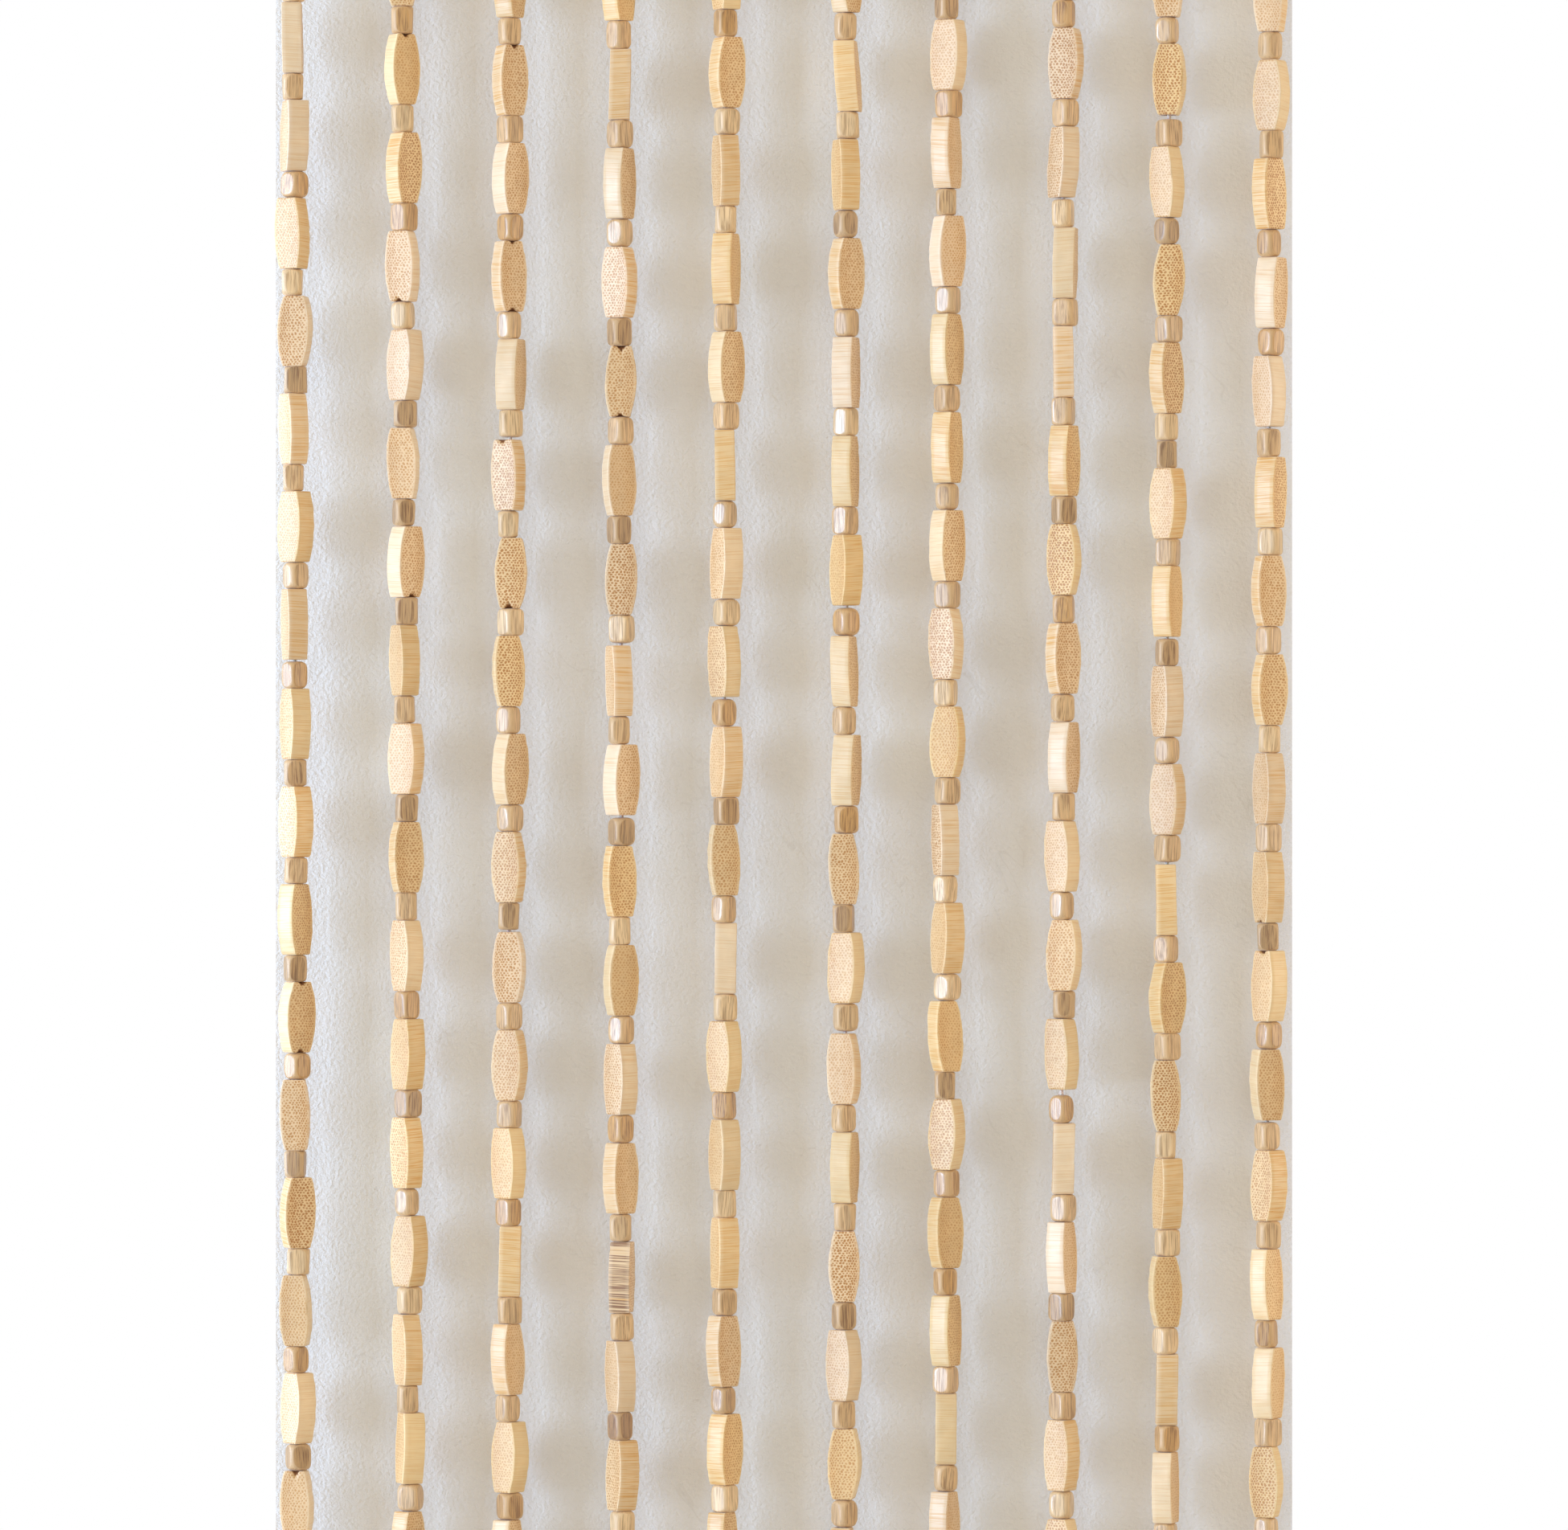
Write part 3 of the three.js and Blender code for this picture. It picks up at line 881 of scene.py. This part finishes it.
# How wide the dots' pattern is over a broad face, and how much closer the dots stand to the outer side.
BROAD_SPAN = 10.5
DOT_PACKING = 5.0
PACKED_FROM = 0.4

# How far the pattern of one bead lies from another's, so that no two beads are alike.
FAR_ACROSS = 91.0
FAR_ALONG = 73.0
FIBRE_SLOPE = 0.16

# Colours are linear. The net is what lies between bold dots, and the ground between fine ones.
BROAD_NET = (0.80, 0.575, 0.29)
BROAD_GROUND = (0.655, 0.415, 0.17)
BROAD_DOT = (0.44, 0.18, 0.018)
BROAD_DOT_PALE = (0.53, 0.25, 0.045)
BROAD_OUTER = (0.62, 0.35, 0.10)
SIDE_GROUND = (0.785, 0.60, 0.335)
SIDE_STRIPE = (0.65, 0.335, 0.06)
SIDE_OUTER = (0.70, 0.46, 0.19)
# The bevels' paler colour: partly worn wood, partly a painted highlight where the bevels catch the light.
EDGE_WEAR_AND_HIGHLIGHT = (0.82, 0.66, 0.43)
# The darker wood inside a break, also used as painted shade on the end faces and in the hole.
CHIP_DARK_AND_SHADE = (0.34, 0.14, 0.045)
STREAK_DARK = (0.26, 0.12, 0.04)
YELLOWER = (1.01, 0.95, 0.79)
PINKER = (1.0, 1.0, 1.18)
LONG_BUMP = 0.00006
LONG_GLOSS = {"Specular IOR Level": 1.0, "IOR": 1.62, "Sheen Weight": 0.22, "Sheen Roughness": 0.4}


def broad_face(n, place, chance, outer, bold, boldly, slope):
    """The dotted colour of a long bead's broad faces, and the dots alone."""
    u, v, w = place
    tone, hue, _ = chance
    wander = n.noise(n.join(n.times(u, 0.5), n.times(v, 0.16), w), 0.5)
    unsteady = n.noise(n.join(u, n.times(v, 0.2), w), 2.2)
    past = n.math("MAXIMUM", n.minus(outer, PACKED_FROM), 0.0)
    packed = n.times(n.times(past, past), DOT_PACKING)
    across = n.plus(n.plus(n.times(outer, BROAD_SPAN), packed), n.times(tone, FAR_ACROSS))
    across = n.plus(across, n.times(wander, 1.1))
    across = n.plus(across, n.times(unsteady, 0.5))
    along = n.plus(w, n.plus(n.times(v, slope), n.times(wander, 1.4)))
    along = n.plus(along, n.times(hue, FAR_ALONG))
    dot, dot_chance = n.dots(across, along, n.line(bold, *DOT_RADIUS))

    to_outer = n.step(outer, 0.4, 0.95)
    strength = n.plus(n.line(boldly, 0.75, 1.05), n.times(to_outer, 0.4))
    strength = n.times(strength, n.line(dot_chance, 0.75, 1.1))
    net = n.mix(boldly, n.mix(0.5, BROAD_NET, BROAD_GROUND), BROAD_NET)
    face = n.mix(n.times(to_outer, 0.42), net, BROAD_OUTER)
    dot_colour = n.mix(boldly, BROAD_DOT_PALE, BROAD_DOT)
    return n.mix(n.times(dot, strength, clamp=True), face, dot_colour), dot


def striped_side(n, place, hue, outer, boldly, slope, streaked):
    """The same fibres lengthwise, bolder on the culm's outer side: the colour, and the streaks alone."""
    u, v, w = place
    level = n.plus(n.plus(w, n.times(v, slope)), n.times(hue, FAR_ALONG))
    streak = n.noise(n.join(n.times(u, 0.2), n.times(v, 0.012), level), 2.2, 2.0, 0.55)
    hair = n.noise(n.join(n.times(u, 0.2), n.times(v, 0.02), level), 4.4, 1.0)
    bold_stripe = n.step(streak, 0.48, 0.61, 0.0, 0.75)
    fine_stripe = n.step(hair, 0.54, 0.64, 0.0, 0.8)
    stripe = n.plus(bold_stripe, fine_stripe, clamp=True)
    amount = n.times(n.step(outer, 0.25, 0.75, 0.55, 1.2), n.line(boldly, 0.65, 1.0))
    ground = n.mix(n.step(outer, 0.55, 0.98, 0.0, 0.5), SIDE_GROUND, SIDE_OUTER)
    side = n.mix(n.times(stripe, amount), ground, SIDE_STRIPE)
    return n.mix(n.times(n.step(streak, 0.46, 0.54), streaked), side, STREAK_DARK), streak


def make_long_material():
    n = Nodes("flat_bead_bamboo")
    place = n.parts(n.attribute("place"))
    chance = n.parts(n.attribute("chance"))
    outer, bold, chip_and_shade = n.parts(n.attribute("cut"))
    broad, edge, streaked = n.parts(n.attribute("skin"))
    u, v, w = place
    tone, hue, drift = chance
    boldly = n.step(bold, 0.1, 0.9)
    slope = n.times(n.minus(drift, 0.5), FIBRE_SLOPE)
    face, dot = broad_face(n, place, chance, outer, bold, boldly, slope)
    side, streak = striped_side(n, place, hue, outer, boldly, slope, streaked)
    # The bevels are painted paler: partly worn wood, partly a painted highlight where the bevels catch the
    # light.
    colour = n.mix(n.times(edge, 0.4), n.mix(broad, side, face), EDGE_WEAR_AND_HIGHLIGHT)

    # Each bead has its own tone and hue, and breaks show the darker wood inside. The same dark colour is
    # painted shade on the end faces and inside the hole.
    cloud = n.noise(n.join(n.plus(u, n.times(tone, FAR_ACROSS)), v, w), 0.22)
    light = n.plus(n.plus(n.times(tone, 0.16), n.times(cloud, 0.2)), 0.84)
    colour = n.tint(n.lighten(colour, light), n.mix(hue, YELLOWER, PINKER))
    ragged = n.noise(n.join(u, v, w), 1.6, 3.0)
    broken_and_shaded = n.step(n.plus(chip_and_shade, n.times(n.minus(ragged, 0.5), 0.5)), 0.25, 0.5)
    height = n.minus(n.times(streak, 0.5), n.times(n.times(dot, broad), 0.7))
    n.shade({
        "Base Color": n.mix(broken_and_shaded, colour, CHIP_DARK_AND_SHADE),
        "Roughness": n.plus(n.step(streak, 0.2, 0.8, 0.50, 0.58), n.times(edge, 0.35)),
        "Normal": n.bump(height, LONG_BUMP),
    })
    n.shade(LONG_GLOSS)
    return n.material


SMALL_CREAM = (0.72, 0.50, 0.26)
SMALL_TAN = (0.60, 0.38, 0.175)
SMALL_BROWN = (0.53, 0.285, 0.085)
SMALL_GREY = (0.43, 0.25, 0.10)
SMALL_RED = (0.33, 0.165, 0.055)
SMALL_WORN = (0.70, 0.47, 0.235)
SMALL_VEIN = (0.66, 0.53, 0.40)
# Painted shade inside the hole and on the end faces, where two beads meet.
HOLE_AND_JOINT_SHADE = (0.20, 0.09, 0.035)
SMALL_SLOPE = 0.12
SMALL_FAR = 57.0
SMALL_BUMP = 0.00004
SMALL_GLOSS = {
    "Specular IOR Level": 1.0,
    "Coat Weight": 0.28,
    "Coat Roughness": 0.42,
    "Sheen Weight": 0.3,
    "Sheen Roughness": 0.45,
}


def wood_colour(n, wood):
    """The plain colour of a short bead, by the numbers in WOODS."""
    colour = n.mix(n.step(wood, WOODS["c"], WOODS["t"]), SMALL_CREAM, SMALL_TAN)
    colour = n.mix(n.step(wood, WOODS["t"], WOODS["b"]), colour, SMALL_BROWN)
    colour = n.mix(n.step(wood, WOODS["b"], WOODS["g"]), colour, SMALL_GREY)
    return n.mix(n.step(wood, 1.12, 1.3), colour, SMALL_RED)


def make_small_material():
    """Split bamboo with its grain along the thread, worn paler where the flats meet."""
    n = Nodes("square_bead_bamboo")
    u, v, w = n.parts(n.attribute("place"))
    tone, hue, drift = n.parts(n.attribute("chance"))
    flat, wood, hole_and_end_shade = n.parts(n.attribute("cut"))
    polish, _, _ = n.parts(n.attribute("skin"))
    slope = n.times(n.minus(drift, 0.5), SMALL_SLOPE)
    across = n.plus(n.plus(u, n.times(hue, SMALL_FAR)), n.times(w, slope))
    grain = n.join(across, v, n.times(w, 0.05))
    streak = n.noise(grain, 0.9, 3.0, 0.6)
    fine = n.noise(grain, 2.6, 2.0, 0.55)
    speck = n.noise(n.join(across, v, n.times(w, 0.35)), 4.0, 1.0)

    light = n.times(n.step(streak, 0.32, 0.68, 0.88, 1.12), n.line(tone, 0.94, 1.06))
    light = n.times(light, n.step(fine, 0.60, 0.36, 0.86, 1.13))
    colour = n.lighten(wood_colour(n, wood), light)
    vein = n.times(n.step(fine, 0.52, 0.62), n.line(wood, 0.6, 1.0))
    vein = n.times(vein, n.line(flat, 0.3, 1.0))
    colour = n.mix(vein, colour, n.tint(colour, SMALL_VEIN))
    pore = n.times(n.step(speck, 0.66, 0.74), n.line(wood, 0.1, 0.5))
    colour = n.mix(pore, colour, n.tint(colour, SMALL_VEIN))
    colour = n.mix(n.step(flat, 0.62, 0.38, 0.0, 0.5), colour, SMALL_WORN)
    rough = n.minus(n.step(fine, 0.2, 0.8, 0.46, 0.60), n.times(polish, 0.15))
    # The hole and the end faces are painted dark, as painted shade.
    n.shade({
        "Base Color": n.mix(n.step(hole_and_end_shade, 0.3, 0.9), colour, HOLE_AND_JOINT_SHADE),
        "Roughness": n.plus(rough, n.step(flat, 0.62, 0.38, 0.0, 0.12)),
        "Normal": n.bump(n.plus(fine, n.times(speck, 0.5)), SMALL_BUMP),
    })
    n.shade(SMALL_GLOSS)
    return n.material


THREAD_DARK = (0.84, 0.68, 0.60)
THREAD_LIGHT = (0.95, 0.80, 0.72)
THREAD_BUMP = 0.00004
THREAD_GLOSS = {"Roughness": 0.45, "Subsurface Weight": 0.3, "Subsurface Scale": 0.001}

# How fast the thread's twist turns along Z and X, in radians a metre.
TWIST_DOWN = 9000.0
TWIST_ACROSS = 5000.0


def make_thread_material():
    n = Nodes("thread_line")
    x, y, z = n.parts(n.object_place())
    twist = n.math("SINE", n.plus(n.times(z, TWIST_DOWN), n.times(x, TWIST_ACROSS)))
    n.shade({
        "Base Color": n.mix(n.plus(n.times(twist, 0.2), 0.5), THREAD_DARK, THREAD_LIGHT),
        "Normal": n.bump(twist, THREAD_BUMP),
    })
    n.shade(THREAD_GLOSS)
    return n.material


HEADING_DARK = (0.58, 0.38, 0.18)
HEADING_LIGHT = (0.78, 0.60, 0.36)
HEADING_BAND = (0.66, 0.46, 0.23)
HEADING_BUMP = 0.00012


def make_heading_material():
    """A split slat, with its fibres along X and a few broad bands."""
    n = Nodes("heading_bamboo")
    x, y, z = n.parts(n.attribute("place"))
    fibre = n.noise(n.join(n.times(x, 0.012), y, z), 2.2, 5.0, 0.65)
    band = n.noise(n.join(n.times(x, 0.03), n.times(y, 0.3), n.times(z, 0.3)), 0.5)
    colour = n.mix(n.step(fibre, 0.35, 0.65), HEADING_DARK, HEADING_LIGHT)
    n.shade({
        "Base Color": n.mix(n.times(band, 0.5), colour, HEADING_BAND),
        "Roughness": n.step(fibre, 0.3, 0.7, 0.36, 0.5),
        "Normal": n.bump(fibre, HEADING_BUMP),
    })
    return n.material


# ---------------------------------------------------------------------------
# Stage and light
# ---------------------------------------------------------------------------

WALL_COLOUR = (0.857, 0.869, 0.875)
WALL_CLOUD = (0.877, 0.889, 0.895)
WALL_CRACK = (0.36, 0.31, 0.25)
WALL_CRACK_SHARE = 0.08
WALL_GRAIN = 800.0
WALL_BUMP = 0.0006
WALL_GAP = 11.0
WALL_WIDTH = 295.4
WALL_TOP = 22.0

FLOOR_DARK = (0.66, 0.64, 0.61)
FLOOR_LIGHT = (0.70, 0.68, 0.65)
FLOOR_Z = -650.0
FLOOR_SIDE = 2400.0


def make_wall_material():
    """Pale plaster with hair cracks, seen from its front alone, so that the curtain shows from behind too."""
    n = Nodes("wall_pale")
    place = n.object_place()
    x, y, z = n.parts(place)
    down = n.minus(n.times(x, 0.55), n.times(y, 0.83))
    aside = n.plus(n.times(x, 0.83), n.times(y, 0.55))
    line = n.noise(n.join(n.times(down, 20.0), n.times(aside, 60.0), 4.0), 1.0, 3.0, 0.45)
    off_line = n.math("ABSOLUTE", n.minus(line, 0.5))
    here_and_there = n.step(n.noise(place, 42.0), 0.55, 0.62)
    crack = n.times(n.step(off_line, 0.0015, 0.0065, 1.0, 0.0), here_and_there)
    cloudy = n.mix(n.noise(place, 30.0), WALL_COLOUR, WALL_CLOUD)
    n.shade({
        "Base Color": n.mix(n.times(crack, WALL_CRACK_SHARE), cloudy, WALL_CRACK),
        "Normal": n.bump(n.noise(place, WALL_GRAIN, 4.0, 0.6), WALL_BUMP),
        "Roughness": 0.9,
    })
    clear = n.node("ShaderNodeBsdfTransparent", {}).outputs[0]
    behind = n.node("ShaderNodeNewGeometry", {}).outputs["Backfacing"]
    either = n.node("ShaderNodeMixShader", {0: behind, 1: n.shader.outputs[0], 2: clear})
    end = next(node for node in n.tree.nodes if node.type == "OUTPUT_MATERIAL")
    n.put(end.inputs[0], either.outputs[0])
    return n.material


def make_floor_material():
    n = Nodes("floor_pale")
    soft = n.noise(n.object_place(), 3.0)
    n.shade({"Base Color": n.mix(soft, FLOOR_DARK, FLOOR_LIGHT), "Roughness": 0.8})
    return n.material


def make_plane(name, width, height, place, material):
    half = Vector((width, height)) * MM / 2
    corners = [(-half.x, -half.y, 0), (half.x, -half.y, 0), (half.x, half.y, 0), (-half.x, half.y, 0)]
    mesh = bpy.data.meshes.new(name)
    mesh.from_pydata(corners, [], [(0, 1, 2, 3)])
    mesh.materials.append(material)
    plane = bpy.data.objects.new(name, mesh)
    plane.location = Vector(place) * MM
    bpy.context.scene.collection.objects.link(plane)
    return plane


def make_stage():
    make_plane("floor", FLOOR_SIDE, FLOOR_SIDE, (0, 0, FLOOR_Z), make_floor_material())
    wall_height = WALL_TOP - FLOOR_Z
    wall_middle = (0, WALL_GAP, (WALL_TOP + FLOOR_Z) / 2)
    wall = make_plane("backdrop", WALL_WIDTH, wall_height, wall_middle, make_wall_material())
    wall.rotation_euler = (math.radians(90), 0, 0)


WORLD_LIGHT = (0.64, 0.575, 0.475)
CLEAR_WHITE = (1.0, 1.0, 1.0)
WINDOW_BLUE = (0.545, 0.722, 1.0)
ROOM_CREAM = (1.0, 0.95, 0.88)
ROOM_WARM = (1.0, 0.90, 0.76)

# Area lamps: angles in degrees, lengths in metres and power in watts. Each one looks at the picture's middle
# from so far away. Azimuth 0 is the camera's side, and positive angles are to the right.
LAMPS = [
    dict(name="key", azimuth=-66, rise=2, away=3.2, size=(1.35, 1.3), power=112, colour=WINDOW_BLUE),
    dict(name="left_panel", azimuth=-100, rise=2, away=3.0, size=(1.5, 2.0), power=71, colour=WINDOW_BLUE),
    dict(name="front", azimuth=-18, rise=38, away=2.8, size=(3.0, 2.0), power=8, colour=ROOM_CREAM),
    dict(name="fill", azimuth=84, rise=5, away=2.6, size=(1.8, 2.0), power=28, colour=ROOM_WARM),
]


def add_lamp(name, azimuth, rise, away, size, power, colour):
    light = bpy.data.lights.new(name, "AREA")
    light.shape = "RECTANGLE"
    light.size, light.size_y = size
    light.energy = power
    light.color = colour
    lamp = bpy.data.objects.new(name, light)
    a = math.radians(azimuth)
    e = math.radians(rise)
    outward = Vector((math.sin(a) * math.cos(e), -math.cos(a) * math.cos(e), math.sin(e)))
    lamp.location = Vector((0, 0, PICTURE_MIDDLE_Z * MM)) + outward * away
    lamp.rotation_euler = outward.to_track_quat("Z", "Y").to_euler()
    bpy.context.scene.collection.objects.link(lamp)


def make_light():
    """Cool window light from the left, and a dim warm room; the bare background is white."""
    world = bpy.data.worlds.new("world")
    bpy.context.scene.world = world
    world.use_nodes = True
    tree = world.node_tree
    seen = tree.nodes.new("ShaderNodeLightPath").outputs["Is Camera Ray"]
    either = tree.nodes.new("ShaderNodeMix")
    either.data_type = "RGBA"
    either.inputs[6].default_value = (*WORLD_LIGHT, 1)
    either.inputs[7].default_value = (*CLEAR_WHITE, 1)
    tree.links.new(seen, either.inputs[0])
    tree.links.new(either.outputs[2], tree.nodes["Background"].inputs["Color"])
    for lamp in LAMPS:
        add_lamp(**lamp)
    bpy.context.scene.view_settings.view_transform = "Standard"


# ---------------------------------------------------------------------------
# The curtain
# ---------------------------------------------------------------------------

# The flat map's columns and rows, one cell for each grid in a mesh.
LONG_CELLS = (5, 4)
SMALL_CELLS = (6, 4)
THREAD_CELLS = (5, 4)
ONE_CELL = (1, 1)


def add_piece(sheaf, name, material, node):
    piece = sheaf.build(name, material)
    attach(piece, "root")
    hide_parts(node)


def make_strings():
    long_material = make_long_material()
    small_material = make_small_material()
    threads = Sheaf(*THREAD_CELLS)
    for strand in range(len(STRINGS)):
        long_beads = Sheaf(*LONG_CELLS)
        small_beads = Sheaf(*SMALL_CELLS)
        for bead in beads_of(strand):
            if bead.kind == "long":
                add_long_bead(long_beads, bead)
            else:
                add_small_bead(small_beads, bead)
        add_thread(threads, strand)
        label = f"{strand + 1:02d}"
        add_piece(long_beads, "long_beads_" + label, long_material, "bead_strands")
        add_piece(small_beads, "small_beads_" + label, small_material, "bead_strands")
    add_piece(threads, "threads", make_thread_material(), "bead_strands")


def add_bar(name, grid, material, node):
    sheaf = Sheaf(*ONE_CELL)
    sheaf.add(grid, outward=False, place=grid)
    add_piece(sheaf, name, material, node)


def make_heading():
    material = make_heading_material()
    random = np.random.default_rng(HEADING_SEED)
    half = HEADING_LENGTH / 2
    slat = bar(heading_outline(), half, HEADING_STATIONS, random, HEADING_WEAR)
    add_bar("heading", slat, material, "heading_slat")
    side = SLOT_WIDTH / 2 - CLEARANCE
    roof = -HEADING_HEIGHT + SLOT_HEIGHT - CLEARANCE
    outline = np.array([(-side, -HEADING_HEIGHT), (side, -HEADING_HEIGHT), (side, roof), (-side, roof)])
    rail = bar(outline, half - RAIL_SHORTER, RAIL_STATIONS, random, 0.0)
    add_bar("strand_rail", rail, material, "bead_strands")


make_camera()
make_stage()
make_light()
make_strings()
make_heading()
